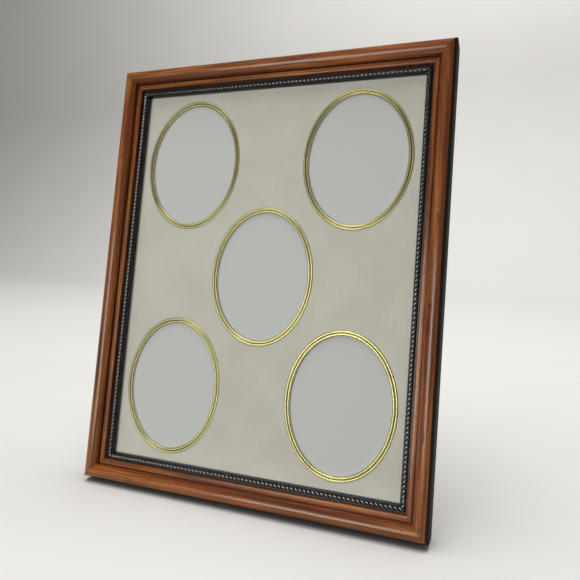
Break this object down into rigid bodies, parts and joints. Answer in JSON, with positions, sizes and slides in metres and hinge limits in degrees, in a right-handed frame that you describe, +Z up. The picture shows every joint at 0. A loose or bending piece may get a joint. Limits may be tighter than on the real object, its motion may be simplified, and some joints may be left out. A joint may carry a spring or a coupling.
{
  "type": "collage photo frame",
  "caption": "Standing wooden photo frame with a mat of oval openings in gold rings, a black rope-bead slip, glass, turn-button back, easel leg and hanger.",
  "frame": {"origin": "on the table, under the middle of the footprint of the standing frame and its leg", "axes": "+Z up, -Y the way the picture faces, +X to the right of someone who looks at the picture"},
  "size_m": [0.3148, 0.1458, 0.385],
  "materials": {
    "wood": "satin",
    "black slip": "satin",
    "gold ring": "polished",
    "glass": "polished",
    "mat board": "matte",
    "paper": "matte",
    "filler card": "matte",
    "hardboard": "matte",
    "ribbon": "woven",
    "brass": "satin",
    "steel": "satin"
  },
  "bodies": {
    "frame": {"rail_top": "wood", "rail_bottom": "wood", "rail_left": "wood", "rail_right": "wood", "slip_top": "black slip", "slip_bottom": "black slip", "slip_left": "black slip", "slip_right": "black slip", "ring_top_left": "gold ring", "ring_top_right": "gold ring", "ring_centre": "gold ring", "ring_bottom_left": "gold ring", "ring_bottom_right": "gold ring", "corner_nails": "steel", "glass_pane": "glass", "mat_board": "mat board", "backing_paper": "paper", "filler_card": "filler card", "back_board": "hardboard", "hinge_leaf_board": "steel", "hinge_pin": "steel", "hinge_rivets_board": "steel", "leg_ribbon": "ribbon", "ribbon_rivet_board": "steel", "button_screws": "steel", "hanger_strap": "steel", "hanger_rivets": "steel"},
    "leg": {"easel_leg": "hardboard", "hinge_leaf_leg": "steel", "hinge_rivets_leg": "steel", "ribbon_rivet_leg": "steel"},
    "hanger_ring": {"hanger_ring": "steel"},
    "turn_button_left_low": {"turn_button_left_low": "brass"},
    "turn_button_left_high": {"turn_button_left_high": "brass"},
    "turn_button_right_low": {"turn_button_right_low": "brass"},
    "turn_button_right_high": {"turn_button_right_high": "brass"},
    "turn_button_bottom_left": {"turn_button_bottom_left": "brass"},
    "turn_button_bottom_right": {"turn_button_bottom_right": "brass"},
    "turn_button_top_left": {"turn_button_top_left": "brass"},
    "turn_button_top_right": {"turn_button_top_right": "brass"}
  },
  "joints": [
    {"name": "leg_hinge", "type": "hinge", "parent": "frame", "child": "leg", "pos_m": [0, 0.01157, 0.25753], "axis": [1, 0, 0], "range_deg": [-26, 0], "deforming": ["leg_ribbon"]},
    {"name": "hanger_swing", "type": "hinge", "parent": "frame", "child": "hanger_ring", "pos_m": [0, 0.03153, 0.34575], "axis": [1, 0, 0], "range_deg": [-13, 167]},
    {"name": "turn_left_low", "type": "hinge", "parent": "frame", "child": "turn_button_left_low", "pos_m": [-0.14535, -0.02759, 0.0977], "axis": [0, 0.9744, -0.225], "continuous": true},
    {"name": "turn_left_high", "type": "hinge", "parent": "frame", "child": "turn_button_left_high", "pos_m": [-0.14535, 0.01515, 0.28283], "axis": [0, 0.9744, -0.225], "continuous": true},
    {"name": "turn_right_low", "type": "hinge", "parent": "frame", "child": "turn_button_right_low", "pos_m": [0.14535, -0.02759, 0.0977], "axis": [0, 0.9744, -0.225], "continuous": true},
    {"name": "turn_right_high", "type": "hinge", "parent": "frame", "child": "turn_button_right_high", "pos_m": [0.14535, 0.01515, 0.28283], "axis": [0, 0.9744, -0.225], "continuous": true},
    {"name": "turn_bottom_left", "type": "hinge", "parent": "frame", "child": "turn_button_bottom_left", "pos_m": [-0.075, -0.04748, 0.01151], "axis": [0, 0.9744, -0.225], "continuous": true},
    {"name": "turn_bottom_right", "type": "hinge", "parent": "frame", "child": "turn_button_bottom_right", "pos_m": [0.075, -0.04748, 0.01151], "axis": [0, 0.9744, -0.225], "continuous": true},
    {"name": "turn_top_left", "type": "hinge", "parent": "frame", "child": "turn_button_top_left", "pos_m": [-0.075, 0.03505, 0.36901], "axis": [0, 0.9744, -0.225], "continuous": true},
    {"name": "turn_top_right", "type": "hinge", "parent": "frame", "child": "turn_button_top_right", "pos_m": [0.075, 0.03505, 0.36901], "axis": [0, 0.9744, -0.225], "continuous": true}
  ]
}
